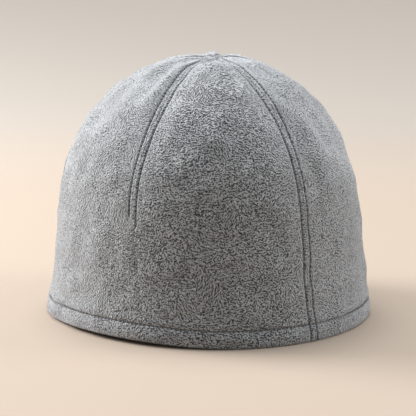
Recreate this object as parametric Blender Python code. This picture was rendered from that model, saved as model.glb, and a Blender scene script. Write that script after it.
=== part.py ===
"""A sewn fleece cap: two darted pieces of cloth, a turned-up hem and the seam allowances inside.

The cap stands on its hem with its crown up. The wearer faces -Y, the side seams are at +X and -X, and
the origin is at the middle of the hem, on the surface that the cap stands on. Azimuths run from the
front, 0 at -Y, towards the wearer's left, 90 at +X. Run it with blender --background --python part.py.
"""

import math

import bmesh
import bpy
import numpy as np

# Driving dimensions in metres
HEM_WIDTH = 0.1950  # across the hem, from side seam to side seam
HEM_DEPTH = 0.1880  # across the hem, from front to back
HEIGHT = 0.1500  # from the surface to the point where the seams meet
CLOTH = 0.0026  # thickness of the fleece
HEM_STITCH = 0.0100  # height of the row of stitches that holds the hem
HEM_PUFF = 0.0006  # how far the hem swells below its stitches
TURN_UP_EDGE = 0.0025  # how far the turned-up cloth reaches past its stitches
STITCH_GAUGE = 0.0045  # between the two rows of stitches on a seam
GROOVE_DEPTH = 0.0007  # how far a row of stitches pulls the cloth in
GROOVE_WIDTH = 0.0024  # across the groove of one row of stitches
ALLOWANCE = 0.0050  # width of the cloth turned back on each side of a seam
ALLOWANCE_CLOTH = 0.0018  # thickness of that cloth, which the stitches flatten
ALLOWANCE_STOP = 0.0130  # how far from the crown's point the allowances are trimmed
DART_FOOT = 0.0630  # height at which the darts start
DART_TAPER = 0.0240  # height over which a dart's allowance widens
DART_TIP = 0.0030  # how far from the crown's point the darts' cuts stop
PANEL_PUFF = 0.0040  # how far a panel swells between its seams near the crown
CROWN_LEFT = 0.0020  # how far the crown's point is pulled from the middle, to the wearer's left
CROWN_BACK = 0.0031  # and how far to the back
GAP = 0.0003  # left between pieces that touch

# Directions in degrees
RIGHT_SEAM = -90.0  # the wearer's right side
LEFT_SEAM = 90.0
TWIST = 9.0  # how far the hem is turned past the crown, towards the wearer's left

# Counts, and shares
PANELS = 6  # three petals of each piece
PANEL_COLUMNS = 7  # free columns of points between two seams
LOWER_ROWS = 6  # rows of points from the hem to the foot of the darts
UPPER_ROWS = 13  # rows of points from there to the crown
STITCH_SHARE = 0.11  # most of half a panel that lies between a seam and its stitches
GROOVE_SHARE = 0.20  # most of half a panel that their groove reaches to
PUFF_SHARE = 0.22  # reach share within which the panels' swelling dies away towards the crown
POINT_SHARE = 0.12  # width of a dart's allowance at its foot, as a share of its full width

# What follows from them
PANEL = 360.0 / PANELS  # degrees from one seam to the next
HEM_FOLD = 0.58 * CLOTH  # radius of the hem's folded lower edge
TURN_UP = HEM_STITCH + TURN_UP_EDGE  # height of the cloth turned up inside the hem

# The cap's outline from the hem to the crown, as shares of HEIGHT and of half the hem's size
SECTIONS = (
    # height, reach
    (0.000, 1.000),
    (0.062, 0.994),
    (0.207, 0.973),
    (0.414, 0.948),
    (0.569, 0.906),
    (0.704, 0.817),
    (0.807, 0.702),
    (0.888, 0.560),
    (0.947, 0.398),
    (0.989, 0.235),
    (1.005, 0.120),
    (1.000, 0.000),
)

# Dents (below zero) and swells where the cloth buckles: middle, half size and depth
FOLDS = (
    # azimuth, height share, half turn in degrees, half height share, depth as a share of HEM_WIDTH
    (-4.0, 0.84, 17.0, 0.14, -0.022),
    (126.0, 0.74, 19.0, 0.21, -0.020),
    (239.0, 0.78, 17.0, 0.15, -0.016),
    (180.0, 0.80, 15.0, 0.14, -0.012),
    (-64.0, 0.78, 15.0, 0.15, -0.011),
    (78.0, 0.38, 8.0, 0.10, -0.007),
    (14.0, 0.34, 9.0, 0.20, 0.004),
    (2.0, 0.30, 7.0, 0.20, -0.004),
    (205.0, 0.36, 12.0, 0.20, 0.006),
    (-48.0, 0.36, 12.0, 0.18, 0.005),
    (148.0, 0.60, 22.0, 0.20, -0.008),
    (138.0, 0.02, 28.0, 0.14, 0.008),
    (147.0, 0.16, 24.0, 0.16, 0.008),
    (-30.0, 0.02, 26.0, 0.14, 0.013),
    (238.0, 0.980, 26.0, 0.050, 0.008),
)

FLEECE_GREY = (0.215, 0.213, 0.218, 1.0)
INSIDE_GREY = (0.195, 0.193, 0.198, 1.0)
FLEECE_ROUGHNESS = 0.95


def clear_scene():
    """Remove every object of the starting scene."""
    for thing in list(bpy.data.objects):
        bpy.data.objects.remove(thing, do_unlink=True)


def cloth_material(name, colour):
    """A matt grey for fleece."""
    material = bpy.data.materials.new(name)
    material.use_nodes = True
    shader = material.node_tree.nodes["Principled BSDF"]
    shader.inputs["Base Color"].default_value = colour
    shader.inputs["Roughness"].default_value = FLEECE_ROUGHNESS
    shader.inputs["Metallic"].default_value = 0.0
    return material


def outline(step):
    """Height and reach shares at a step from 0, the hem, to 1, the crown.

    A Catmull-Rom curve runs through the sections: each stretch is a cubic whose slope at a section is
    half the way from the section before it to the section after it.
    """
    rows = np.array(SECTIONS)
    rows = np.vstack([2.0 * rows[0] - rows[1], rows, rows[-2] * (1.0, -1.0)])
    place = np.clip(np.asarray(step, float), 0.0, 1.0) * (len(SECTIONS) - 1)
    first = np.minimum(place.astype(int), len(SECTIONS) - 2)
    along = (place - first)[..., None]
    before, start, end, after = (rows[first + k] for k in range(4))
    curve = 0.5 * (
        2.0 * start
        + (end - before) * along
        + (2.0 * before - 5.0 * start + 4.0 * end - after) * along**2
        + (3.0 * start - before - 3.0 * end + after) * along**3
    )
    return curve[..., 0], curve[..., 1]


def mean_radius(step):
    """The mean distance of the plain outline from the cap's axis."""
    return outline(step)[1] * 0.25 * (HEM_WIDTH + HEM_DEPTH)


def step_at_height(height):
    """The step at which the outline reaches a height in metres."""
    steps = np.linspace(0.0, 1.0, 600)
    return np.interp(height / HEIGHT, outline(steps)[0], steps)


def step_at_radius(radius):
    """The step near the crown at which the outline comes this close to the cap's axis."""
    steps = np.linspace(1.0, 0.6, 600)
    return np.interp(radius, mean_radius(steps), steps)


def bump(distance):
    """A smooth hill: 1 in the middle, 0 from a distance of 1 outwards, on either side."""
    return (1.0 - np.minimum(np.abs(distance), 1.0) ** 2) ** 2


def swell(azimuth, height, reach):
    """How far the cloth stands out from the plain outline, from panels, folds and dents."""
    from_middle = np.abs(2.0 * ((azimuth - RIGHT_SEAM) % PANEL) / PANEL - 1.0)
    puff = PANEL_PUFF * np.tanh(reach / PUFF_SHARE)
    out = puff * (1.0 - from_middle**2) * bump((height - 0.97) / 0.55)
    for middle, level, turn, rise, depth in FOLDS:
        around = (azimuth - middle + 180.0) % 360.0 - 180.0
        out = out + depth * HEM_WIDTH * bump(np.hypot(around / turn, (height - level) / rise))
    return out


def smooth_skin(azimuth, step):
    """The cap's outer face without its stitches, as an array of points.

    The plan is an oval, x = reach * half width * sin(turn) and y = -reach * half depth * cos(turn),
    where turn is the azimuth and the cap's twist. The swell pushes it out, and up near the crown, and
    the crown's point is pulled aside, by the fourth power of one less the reach.
    """
    height, reach = outline(step)
    turn = np.radians(azimuth + TWIST * (0.5 - height))
    out = swell(azimuth, height, reach)
    lift = np.clip(height, 0.0, 1.0) ** 4
    spread = reach + out * np.sqrt(1.0 - lift**2) / (0.5 * HEM_WIDTH)
    pull = np.clip(1.0 - reach, 0.0, 1.0) ** 4
    return np.stack(
        [
            spread * 0.5 * HEM_WIDTH * np.sin(turn) + pull * CROWN_LEFT,
            -spread * 0.5 * HEM_DEPTH * np.cos(turn) + pull * CROWN_BACK,
            height * HEIGHT + out * lift,
        ],
        axis=-1,
    )


def skin_and_normal(azimuth, step, is_level=False):
    """The smooth skin and its outward direction, from the slopes along both parameters.

    Where is_level is true, the direction is laid level, so that the hem's rows keep their height.
    """
    turn, rise = 0.5, 0.004
    azimuth, step, is_level = np.broadcast_arrays(azimuth, step, is_level)
    low = np.minimum(step, 1.0 - 2.0 * rise)
    across = smooth_skin(azimuth + turn, low) - smooth_skin(azimuth - turn, low)
    up = smooth_skin(azimuth, low + rise) - smooth_skin(azimuth, low - rise)
    normal = np.cross(across, up)
    normal[..., 2] = np.where(is_level, 0.0, normal[..., 2])
    return smooth_skin(azimuth, step), normal / np.linalg.norm(normal, axis=-1, keepdims=True)


def turn_for(distance, step, most=1.0):
    """The azimuth that a distance beside a seam takes, up to a share of half a panel."""
    radius = np.maximum(mean_radius(step), 0.5 * DART_TIP)
    return np.minimum(np.degrees(distance / radius), most * 0.5 * PANEL)


def hem_rows():
    """The rows of points of the folded hem: the height of each, and how far it is set in."""
    corner = HEM_FOLD * (1.0 - math.cos(math.radians(45.0)))
    half_groove = 0.5 * GROOVE_WIDTH
    return np.array(
        (
            # height, set in
            (0.0, HEM_FOLD),
            (corner, corner),
            (HEM_FOLD, 0.0),
            (0.5 * HEM_STITCH, -HEM_PUFF),
            (HEM_STITCH - half_groove, 0.0),
            (HEM_STITCH, GROOVE_DEPTH),
            (HEM_STITCH + half_groove, 0.0),
        )
    )


def piece_rows():
    """The step of each row of a piece, and how far the hem sets it in."""
    hem = hem_rows()
    hem_steps = step_at_height(hem[:, 0])
    foot = step_at_height(DART_FOOT)
    lower = np.linspace(hem_steps[-1], foot, LOWER_ROWS + 1)[1:]
    upper = np.linspace(foot, step_at_radius(DART_TIP), UPPER_ROWS)[1:]
    steps = np.concatenate([hem_steps, lower, upper, [1.0]])
    set_in = np.zeros(len(steps))
    set_in[: len(hem)] = hem[:, 1]
    return steps, set_in


def panel_columns(left, steps):
    """Azimuths of the columns of points of the panel that starts at left, a row for each step.

    The first and last columns are the cloth's two edges. Next to them lie a row of stitches and the
    edge of its groove, at fixed distances from the seam, and the free columns share what is left.
    """
    stitches = turn_for(0.5 * STITCH_GAUGE, steps, STITCH_SHARE)
    groove = turn_for(0.5 * STITCH_GAUGE + 0.5 * GROOVE_WIDTH, steps, GROOVE_SHARE)
    beside = [turn_for(0.5 * GAP, steps), stitches, groove]
    shares = np.linspace(0.0, 1.0, PANEL_COLUMNS + 2)[1:-1]
    free = [groove + (PANEL - 2.0 * groove) * share for share in shares]
    return left + np.stack(beside + free + [PANEL - turn for turn in reversed(beside)], axis=1)


def panel_stitches(steps, is_sewn_left, is_sewn_right):
    """How far the stitches beside its two seams pull in each point of a panel."""
    depth = np.zeros(panel_columns(0.0, steps).shape)
    fade = np.clip(mean_radius(steps) / (3.0 * STITCH_GAUGE), 0.0, 1.0)
    depth[:, 1] = GROOVE_DEPTH * fade * is_sewn_left
    depth[:, -2] = GROOVE_DEPTH * fade * is_sewn_right
    return depth


def add_face(bm, corners):
    """Add a face, leaving out corners that repeat, and nothing when fewer than three are left."""
    kept = [corner for k, corner in enumerate(corners) if corner is not corners[k - 1]]
    if len(set(kept)) >= 3:
        bm.faces.new(kept)


def new_object(name, bm, material):
    """Link a named object with this mesh, its faces pointing out, its material and smooth shading."""
    bmesh.ops.recalc_face_normals(bm, faces=bm.faces)
    mesh = bpy.data.meshes.new(name)
    bm.to_mesh(mesh)
    bm.free()
    mesh.materials.append(material)
    mesh.shade_smooth()
    mesh.set_sharp_from_angle(angle=math.radians(40.0))
    thing = bpy.data.objects.new(name, mesh)
    bpy.context.scene.collection.objects.link(thing)


def cloth_grid(bm, points, tip, is_joined):
    """Vertices for a grid of points that ends in one tip, a joined point sharing its neighbour's."""
    grid = []
    for row, joined in zip(points[:-1], is_joined):
        line = []
        for point, shares_last in zip(row, joined):
            line.append(line[-1] if shares_last else bm.verts.new(point))
        grid.append(line)
    grid.append([bm.verts.new(tip)] * points.shape[1])
    return grid


def cloth_piece(name, first_seam, material):
    """One half of the cap: a wall of three petals, joined below their darts and at the crown."""
    steps, set_in = piece_rows()
    above_foot = steps > step_at_height(DART_FOOT) * 1.0001
    is_cut = above_foot & (steps < step_at_radius(DART_TIP) * 0.9999)
    count = PANELS // 2
    azimuths, stitches = [], []
    for number in range(count):
        is_first, is_last = number == 0, number == count - 1
        azimuths.append(panel_columns(first_seam + PANEL * number, steps))
        stitches.append(panel_stitches(steps, is_first | above_foot, is_last | above_foot))
    width = azimuths[0].shape[1]
    azimuth, stitched = np.hstack(azimuths), np.hstack(stitches)
    darts = [width * number for number in range(1, count)]
    is_joined = np.zeros(azimuth.shape, bool)
    for dart in darts:
        azimuth[~is_cut, dart - 1] = first_seam + PANEL * dart / width
        azimuth[~is_cut, dart] = first_seam + PANEL * dart / width
        is_joined[~is_cut, dart] = True

    is_hem = (np.arange(len(steps)) < len(hem_rows()))[:, None]
    skin, normal = skin_and_normal(azimuth, steps[:, None], is_hem)
    middle = math.radians(first_seam + 0.5 * PANEL * count)
    tip = CROWN_LEFT + 0.5 * GAP * math.sin(middle), CROWN_BACK - 0.5 * GAP * math.cos(middle)
    bm = bmesh.new()
    walls = []
    for depth in ((stitched + set_in[:, None])[..., None], CLOTH):
        points = skin - normal * depth
        walls.append(cloth_grid(bm, points, (*tip, points[-1, 0, 2]), is_joined))
    outside, inside = walls
    last = azimuth.shape[1] - 1
    for column in range(last):
        if column + 1 not in darts:
            near, far = outside[0][column : column + 2], inside[0][column : column + 2]
            add_face(bm, (*near, *reversed(far)))
            for wall in walls:
                for low, high in zip(wall, wall[1:]):
                    add_face(bm, (low[column], low[column + 1], high[column + 1], high[column]))
    for column in [0, last] + darts + [dart - 1 for dart in darts]:
        for row in range(len(steps) - 1):
            if column in (0, last) or is_cut[row] or is_cut[row + 1]:
                near = [outside[row][column], outside[row + 1][column]]
                far = [inside[row][column], inside[row + 1][column]]
                add_face(bm, (*near, *reversed(far)))
    new_object(name, bm, material)


def skin_rings(bm, sections, is_round):
    """Skin rings of points one after another, and from the last to the first where it is round."""
    rings = [[bm.verts.new(point) for point in section] for section in sections]
    following = rings[1:] + rings[:1] if is_round else rings[1:]
    for ring, other in zip(rings, following):
        for k, vertex in enumerate(ring):
            add_face(bm, (ring[k - 1], vertex, other[k], other[k - 1]))
    return rings


def hem_turn_up(material):
    """The cloth folded up inside the hem: a closed ring with a rounded lower edge."""
    azimuth = []
    for number in range(PANELS):
        seam = RIGHT_SEAM + PANEL * number
        azimuth += [[seam], panel_columns(seam, np.zeros(1))[0, 1:-1]]
    azimuth = np.concatenate(azimuth)
    corner = HEM_FOLD * (1.0 - math.cos(math.radians(45.0)))
    front, back = CLOTH + GAP, 2.0 * CLOTH + GAP
    section = (
        # height, set in from the skin
        (0.0, front),
        (0.0, back - HEM_FOLD),
        (corner, back - corner),
        (HEM_FOLD, back),
        (HEM_STITCH, back),
        (TURN_UP - corner, back),
        (TURN_UP, back - corner),
        (TURN_UP, front),
        (HEM_STITCH, front),
    )
    rings = []
    for height, set_in in section:
        skin, normal = skin_and_normal(azimuth, step_at_height(height), True)
        rings.append(skin - normal * set_in)
    bm = bmesh.new()
    skin_rings(bm, rings, True)
    new_object("hem_turn_up", bm, material)


def allowance(name, seam, foot, foot_share, material):
    """The cloth turned back along a seam, inside, as one flat strip that follows the wall.

    It starts at the height foot with a share of its full width, and stops short of the crown.
    """
    start, stop = step_at_height(foot), step_at_radius(ALLOWANCE_STOP)
    rows = piece_rows()[0]
    steps = np.concatenate([[start], rows[(rows > start + 0.01) & (rows < stop - 0.01)], [stop]])
    rise = outline(steps)[0] * HEIGHT - foot
    widening = np.clip(foot_share + rise / DART_TAPER, 0.0, 1.0)
    crowding = np.clip(0.5 * mean_radius(steps) / ALLOWANCE_STOP, 0.0, 1.0)
    turn = turn_for(ALLOWANCE * widening * crowding, steps)
    azimuth = seam + np.stack([-turn, 0.0 * turn, turn], axis=1)
    skin, normal = skin_and_normal(azimuth, steps[:, None])
    near = skin - normal * (CLOTH + GAP)
    far = skin - normal * (CLOTH + GAP + ALLOWANCE_CLOTH)
    bm = bmesh.new()
    rings = skin_rings(bm, np.concatenate([near, far[:, ::-1]], axis=1), False)
    for ring in (rings[0], rings[-1]):
        for k in range(2):
            add_face(bm, (ring[k], ring[k + 1], ring[4 - k], ring[5 - k]))
    new_object(name, bm, material)


def main():
    clear_scene()
    outside = cloth_material("fleece", FLEECE_GREY)
    inside = cloth_material("fleece_inside", INSIDE_GREY)
    cloth_piece("front_piece", RIGHT_SEAM, outside)
    cloth_piece("back_piece", LEFT_SEAM, outside)
    hem_turn_up(inside)
    seam_foot = TURN_UP + 0.5 * CLOTH
    allowance("side_seam_left", LEFT_SEAM, seam_foot, 1.0, inside)
    allowance("side_seam_right", RIGHT_SEAM, seam_foot, 1.0, inside)
    allowance("dart_front_left", LEFT_SEAM - PANEL, DART_FOOT, POINT_SHARE, inside)
    allowance("dart_front_right", RIGHT_SEAM + PANEL, DART_FOOT, POINT_SHARE, inside)
    allowance("dart_back_left", LEFT_SEAM + PANEL, DART_FOOT, POINT_SHARE, inside)
    allowance("dart_back_right", RIGHT_SEAM - PANEL, DART_FOOT, POINT_SHARE, inside)


main()
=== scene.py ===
# %% [markdown]
# # A fleece cap
#
# This lesson dresses the model of a sewn fleece cap so that it looks like the real thing in a photograph.
# The solids of the model give every size, and each soft piece is made again here with its pile, its
# seams and its stitches. Work through the cells in order, because each uses what the ones before made.

import math

import bmesh
import bpy
import numpy as np
from mathutils import Matrix, Vector


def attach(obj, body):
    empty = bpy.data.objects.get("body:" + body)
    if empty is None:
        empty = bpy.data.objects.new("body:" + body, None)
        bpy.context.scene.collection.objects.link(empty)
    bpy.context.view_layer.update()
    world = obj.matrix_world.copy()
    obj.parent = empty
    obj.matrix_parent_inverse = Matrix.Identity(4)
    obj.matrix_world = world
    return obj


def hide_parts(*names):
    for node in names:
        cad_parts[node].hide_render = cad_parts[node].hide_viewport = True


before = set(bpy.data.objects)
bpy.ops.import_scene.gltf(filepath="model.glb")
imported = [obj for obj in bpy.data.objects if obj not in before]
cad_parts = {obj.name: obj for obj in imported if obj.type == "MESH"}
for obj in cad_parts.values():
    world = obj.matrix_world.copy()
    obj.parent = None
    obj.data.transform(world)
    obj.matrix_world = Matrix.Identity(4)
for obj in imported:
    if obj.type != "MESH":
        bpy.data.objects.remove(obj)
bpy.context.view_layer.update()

# %% [markdown]
# ## The sizes of the cap
#
# The cap stands on its hem with the crown up. Its front is at -Y and its side seams are at +X and -X. An
# azimuth is an angle in plan, in degrees: 0 at the front and 90 at +X. Every size is in metres. The same
# sizes made the solids, so what is built from them lies where the solids lie. Only the crown's point, the
# sway of the seams and five shallow creases are this script's own.

# %% Sizes
HEM_WIDTH, HEM_DEPTH, HEIGHT = 0.1950, 0.1880, 0.1500
CLOTH = 0.0026  # thickness of the fleece
GAP = 0.0003  # between pieces that touch
HEM_STITCH = 0.0100  # height of the stitches that hold the hem
HEM_FOLD = 0.58 * CLOTH  # radius of the hem's folded edge
HEM_PUFF = 0.0006
TURN_UP = 0.0125  # height of the cloth turned up inside
STITCH_GAUGE = 0.0045  # between the two rows on a seam
ALLOWANCE, ALLOWANCE_CLOTH, ALLOWANCE_STOP = 0.0050, 0.0018, 0.0130
DART_FOOT, DART_TAPER = 0.0630, 0.0240
PANEL_PUFF, PUFF_SHARE = 0.0040, 0.22
CROWN_LEFT, CROWN_BACK = 0.0062, 0.0004  # 5 mm beside the solids' point
FIRST_SEAM, PANEL, TWIST = -90.0, 60.0, 9.0  # degrees; the twist is from hem to crown
SIDE_SEAMS, DARTS = (-90.0, 90.0), (-30.0, 30.0, 150.0, 210.0)
print("hem around the outside in mm:", round(1000 * math.pi * (HEM_WIDTH + HEM_DEPTH) / 2))

# %% [markdown]
# ## The outline
#
# A dome like this could be sculpted, but then nothing would tie it to the model. It is worked out instead:
# a smooth curve runs through a short table of heights and reaches, from the hem to the crown, and a plan
# that is slightly oval carries it round. A second short table holds the places where the cloth buckles.

# %% Tables and the outline curve
SECTIONS = np.array(  # height and reach, as shares
    [
        (0.000, 1.000),
        (0.062, 0.994),
        (0.207, 0.973),
        (0.414, 0.948),
        (0.569, 0.906),
        (0.704, 0.817),
        (0.807, 0.702),
        (0.888, 0.560),
        (0.947, 0.398),
        (0.989, 0.235),
        (1.005, 0.120),
        (1.000, 0.000),
    ]
)
FOLDS = (  # azimuth, height share, half turn in degrees, half height share, depth share of the hem's width
    (-4.0, 0.84, 17.0, 0.14, -0.022),
    (126.0, 0.74, 19.0, 0.21, -0.020),
    (239.0, 0.78, 17.0, 0.15, -0.016),
    (180.0, 0.80, 15.0, 0.14, -0.012),
    (-64.0, 0.78, 15.0, 0.15, -0.011),
    (78.0, 0.38, 8.0, 0.10, -0.007),
    (14.0, 0.34, 9.0, 0.20, 0.004),
    (2.0, 0.30, 7.0, 0.20, -0.004),
    (205.0, 0.36, 12.0, 0.20, 0.006),
    (-48.0, 0.36, 12.0, 0.18, 0.005),
    (148.0, 0.60, 22.0, 0.20, -0.008),
    (138.0, 0.02, 28.0, 0.14, 0.008),
    (147.0, 0.16, 24.0, 0.16, 0.008),
    (-30.0, 0.02, 26.0, 0.14, 0.013),
    (238.0, 0.980, 26.0, 0.050, 0.008),
    # Too shallow for the solids: creases high up beside the dart and the seam.
    (13.0, 0.920, 15.0, 0.11, -0.018),
    (26.5, 0.890, 8.0, 0.13, 0.009),
    (97.0, 0.870, 7.0, 0.13, 0.007),
    (104.0, 0.700, 7.0, 0.17, 0.007),
    (116.0, 0.800, 10.0, 0.16, -0.009),
)


def outline(step):
    """Height and reach shares at a step from 0, the hem, to 1, the crown.

    Each stretch between two sections is a Catmull-Rom cubic: its slope at a section is half the way from
    the section before to the section after.
    """
    rows = np.vstack([2 * SECTIONS[0] - SECTIONS[1], SECTIONS, SECTIONS[-2] * (1, -1)])
    place = np.clip(step, 0.0, 1.0) * (len(SECTIONS) - 1)
    first = np.minimum(place.astype(int), len(SECTIONS) - 2)
    t = (place - first)[..., None]
    a, b, c, d = (rows[first + k] for k in range(4))
    curve = b + 0.5 * ((c - a) * t + (2 * a - 5 * b + 4 * c - d) * t**2 + (3 * b - a - 3 * c + d) * t**3)
    return curve[..., 0], curve[..., 1]


def mean_radius(step):
    """Mean distance from the axis: the reach times a quarter of the hem's width and depth together."""
    return outline(step)[1] * 0.25 * (HEM_WIDTH + HEM_DEPTH)


STEPS = np.linspace(0.0, 1.0, 4001)
LENGTHS = np.concatenate(
    [[0.0], np.cumsum(np.hypot(np.diff(outline(STEPS)[0]) * HEIGHT, np.diff(mean_radius(STEPS))))]
)
FULL_LENGTH = LENGTHS[-1]


def step_at(height):
    """The step at a height in metres, read from the steps below the crown, where heights only grow."""
    return np.interp(height / HEIGHT, outline(STEPS[:3000])[0], STEPS[:3000])


FOOT_STEP = step_at(DART_FOOT)
FOOT_LENGTH = np.interp(FOOT_STEP, STEPS, LENGTHS)
print("from hem to crown along the cloth, in mm:", round(1000 * FULL_LENGTH, 1))

# %% [markdown]
# ## The skin
#
# The plan of the cap turns a little from the hem to the crown, and its seams sway on top of that. Each petal
# swells between its seams, most of all near the crown, and the dents push the cloth in. A stretch of the
# hem lifts off the table by a millimetre or two. One side of the crown is slack, so that the point where
# the seams meet shows from there. The shape could be sculpted by hand, but as a function of two numbers it
# also says where the stitches and the cloth inside lie.

# %% The skin as a function of azimuth and step
PUFF_HEIGHT, PUFF_TALL = 0.97, 0.55  # height share where the petals swell most, and how far that reaches
HEM_LIFT = 0.0023  # how far a stretch of the hem stands off the table
LIFT_MIDDLE, LIFT_HALF_TURN, LIFT_REACH = 18.0, 46.0, 0.030
SLACK_MIDDLE, SLACK_HALF_TURN, SLACK_DROP = 57.0, 105.0, 0.0022  # where the crown's cloth lies lower
SLACK_REACH = 0.15  # reach share where it is lowest
SLACK_FLAT, SLACK_FLAT_REACH = 0.7, 0.32  # share of the swelling that is lost there
SWAY, SWAY_FROM, SWAY_OVER = 4.6, 0.40, 0.62  # degrees at the crown, and the height shares of the turn
SPREAD, SPREAD_HEIGHT, SPREAD_TALL = 2.2, 0.52, 0.36  # degrees: one petal is wider at half height
TAPER, TAPER_HEIGHT, TAPER_TALL = 1.4, 0.95, 0.20  # degrees: and narrower near the crown
SWAYED_PETAL, SWAYED_HALF_TURN = 60.0, 110.0  # azimuth of that petal's middle


def bump(distance):
    """A smooth hill: (1 - distance squared) squared, and 0 beyond a distance of 1."""
    return (1.0 - np.minimum(np.abs(distance), 1.0) ** 2) ** 2


def smooth_rise(values):
    """0 up to 0, 1 from 1 onwards, and 3 t squared - 2 t cubed between."""
    t = np.clip(values, 0.0, 1.0)
    return t * t * (3.0 - 2.0 * t)


def turned(azimuth, middle):
    """The turn in degrees from middle to azimuth, from -180 to 180."""
    return (azimuth - middle + 180.0) % 360.0 - 180.0


def seam_sway(azimuth, height):
    """Degrees by which the seams sway from their plain course.

    All of them turn on smoothly towards the crown. The two beside one petal also move apart at half height
    and together near the crown: a sine of three waves a turn, in a window on that petal.
    """
    wider = SPREAD * bump((height - SPREAD_HEIGHT) / SPREAD_TALL)
    narrower = TAPER * bump((height - TAPER_HEIGHT) / TAPER_TALL)
    aside = turned(azimuth, SWAYED_PETAL)
    petal = np.sin(np.radians(3.0 * aside)) * bump(aside / SWAYED_HALF_TURN)
    return SWAY * smooth_rise((height - SWAY_FROM) / SWAY_OVER) + (wider - narrower) * petal


def smooth_skin(azimuth, step):
    """Points of the cap's plain outer face.

    In plan, x is reach * half width * sin(turn) and y is -reach * half depth * cos(turn), where turn is the
    azimuth, the sway and the twist. Panels and folds push the point out, and up near the crown.
    """
    height, reach = outline(step)
    swayed = azimuth + seam_sway(azimuth, height)
    turn = np.radians(swayed + TWIST * (0.5 - height))
    from_middle = np.abs(2.0 * ((azimuth - FIRST_SEAM) % PANEL) / PANEL - 1.0)
    swell = np.tanh(reach / PUFF_SHARE) * bump((height - PUFF_HEIGHT) / PUFF_TALL)
    panel = PANEL_PUFF * (1.0 - from_middle**2) * swell
    out = panel
    for middle, level, wide, tall, depth in FOLDS:
        off = np.hypot(turned(swayed, middle) / wide, (height - level) / tall)
        out = out + depth * HEM_WIDTH * bump(off)
    lift = np.clip(height, 0.0, 1.0) ** 4
    spread = reach + out * np.sqrt(1.0 - lift**2) / (0.5 * HEM_WIDTH)
    pull = np.clip(1.0 - reach, 0.0, 1.0) ** 4
    raised = HEM_LIFT * bump(turned(azimuth, LIFT_MIDDLE) / LIFT_HALF_TURN)
    x = spread * 0.5 * HEM_WIDTH * np.sin(turn) + pull * CROWN_LEFT
    y = -spread * 0.5 * HEM_DEPTH * np.cos(turn) + pull * CROWN_BACK
    z = height * HEIGHT + out * lift + raised * bump(height * HEIGHT / LIFT_REACH)
    slack = bump(turned(azimuth, SLACK_MIDDLE) / SLACK_HALF_TURN)
    drop = SLACK_DROP * bump((reach - SLACK_REACH) / SLACK_REACH)
    z = z - slack * (drop + SLACK_FLAT * panel * bump(reach / SLACK_FLAT_REACH))
    return np.stack(np.broadcast_arrays(x, y, z), axis=-1)


def unit(vectors):
    """The same directions with a length of 1."""
    return vectors / np.maximum(np.linalg.norm(vectors, axis=-1, keepdims=True), 1e-12)


def skin_frame(azimuth, step):
    """Points of the skin, with the directions around, up and out at each, from small differences."""
    turn, rise = 0.5, 0.004  # in degrees and in steps
    low = np.minimum(step, 1.0 - 2.0 * rise)
    around = unit(smooth_skin(azimuth + turn, low) - smooth_skin(azimuth - turn, low))
    up = unit(smooth_skin(azimuth, low + rise) - smooth_skin(azimuth, np.maximum(low - rise, 0.0)))
    return smooth_skin(azimuth, step), around, up, unit(np.cross(around, up))


print("crown at", smooth_skin(np.array(0.0), np.array(1.0)).round(4))

# %% [markdown]
# ## Relief and lie of the pile
#
# Fleece is brushed knit: its fibres gather in small clumps about two millimetres across, which lean in
# patches. The larger swellings go into the mesh, so that the cap's edge isn't a clean line, and the
# material adds the clumps. A ring-shaped filter on the frequencies of random numbers leaves features of
# one size, as a map of the cloth laid out flat, where points of the cap look up their value.

# %% Maps of random relief on the flat cloth
MAP_CELL = 0.0005
MAP_COLUMNS, MAP_ROWS = 1250, 512


def cloth_map(seed, wavelength, spread=0.35):
    """Random relief with one feature size, as a map with a mean of 0 and a spread of 1.

    White noise is multiplied, frequency by frequency, by a bell around 1 / wavelength.
    """
    noise = np.random.default_rng(seed).standard_normal((MAP_ROWS, MAP_COLUMNS))
    across = np.fft.rfftfreq(MAP_COLUMNS, MAP_CELL)
    along = np.fft.fftfreq(MAP_ROWS, MAP_CELL)[:, None]
    bell = np.exp(-(((np.hypot(across, along) * wavelength - 1.0) / spread) ** 2))
    smooth = np.fft.irfft2(np.fft.rfft2(noise) * bell, noise.shape)
    return smooth / smooth.std()


def read_map(values, x, y):
    """The map's value at places on the cloth, blended between its four nearest cells."""
    column, row = x / MAP_CELL, y / MAP_CELL
    left, low = np.floor(column).astype(int), np.floor(row).astype(int)
    u, v = column - left, row - low
    right, high = (left + 1) % MAP_COLUMNS, (low + 1) % MAP_ROWS
    left, low = left % MAP_COLUMNS, low % MAP_ROWS
    bottom = values[low, left] * (1 - u) + values[low, right] * u
    top = values[high, left] * (1 - u) + values[high, right] * u
    return bottom * (1 - v) + top * v


CLUMPS = cloth_map(11, 0.0027)
TUFTS = cloth_map(12, 0.0052)
RIPPLES = cloth_map(13, 0.021, 0.5)
LEAN_A, LEAN_B = cloth_map(14, 0.034, 0.6), cloth_map(15, 0.034, 0.6)

# %% Places on the flat cloth
NEAREST = 0.0015  # radius below which a turn is no longer worked out from it


def cloth_place(azimuth, step):
    """Where a point lies on the flat cloth: across and up, in metres.

    Up is the length of cloth from the hem. Across is the arc from the middle of its petal, and the petals
    lie side by side: below the darts, where they are one cloth, their edges meet.
    """
    azimuth, step = np.broadcast_arrays(azimuth, step)
    radius = mean_radius(step)
    petal = np.floor((azimuth - FIRST_SEAM - 1e-9) / PANEL)
    middle = FIRST_SEAM + PANEL * (petal + 0.5)
    laid_out = mean_radius(np.minimum(step, FOOT_STEP))
    across = np.radians(azimuth - middle) * radius + np.radians(middle) * laid_out
    return across, np.interp(step, STEPS, LENGTHS)


def seam_distance(azimuth, step, seam):
    """Signed distance along the cloth from a seam."""
    return np.radians(turned(azimuth, seam)) * np.maximum(mean_radius(step), NEAREST)


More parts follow.
